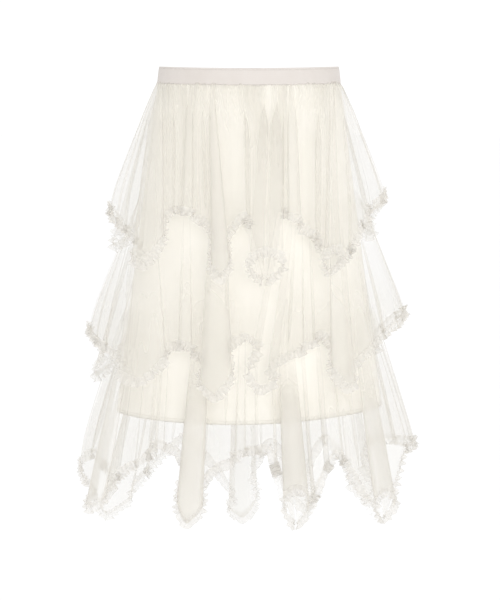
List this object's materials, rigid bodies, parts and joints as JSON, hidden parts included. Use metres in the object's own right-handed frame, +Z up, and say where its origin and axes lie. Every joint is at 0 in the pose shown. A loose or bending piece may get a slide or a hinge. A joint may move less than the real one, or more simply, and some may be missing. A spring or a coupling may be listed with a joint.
{
  "type": "tiered ruffle skirt, filled out",
  "caption": "Ivory net skirt of gathered, pointed flounces edged with narrow ruffles, over a plain slip on an elastic waistband; filled out and hollow.",
  "frame": {"origin": "middle of the waist opening, at half the height of the waistband, where the wearer's waist holds the skirt", "axes": "+Z up, the front of the skirt faces -Y, +X is the wearer's left"},
  "size_m": [0.5328, 0.4262, 0.7424],
  "materials": {
    "elastic": "smooth flat elastic knit",
    "lining_cloth": "soft, slightly satin cloth",
    "net": "sheer soft net",
    "ruffle_net": "gathered net, denser than the flounces"
  },
  "bodies": {
    "root": {"waistband": "elastic", "lining_front": "lining_cloth", "lining_back": "lining_cloth", "tier1_front": "net", "tier1_back": "net", "tier2_front": "net", "tier2_back": "net", "tier3_front": "net", "tier3_back": "net", "ruffle1_front": "ruffle_net", "ruffle1_back": "ruffle_net", "ruffle2_front": "ruffle_net", "ruffle2_back": "ruffle_net", "ruffle3_front": "ruffle_net", "ruffle3_back": "ruffle_net"}
  },
  "joints": []
}
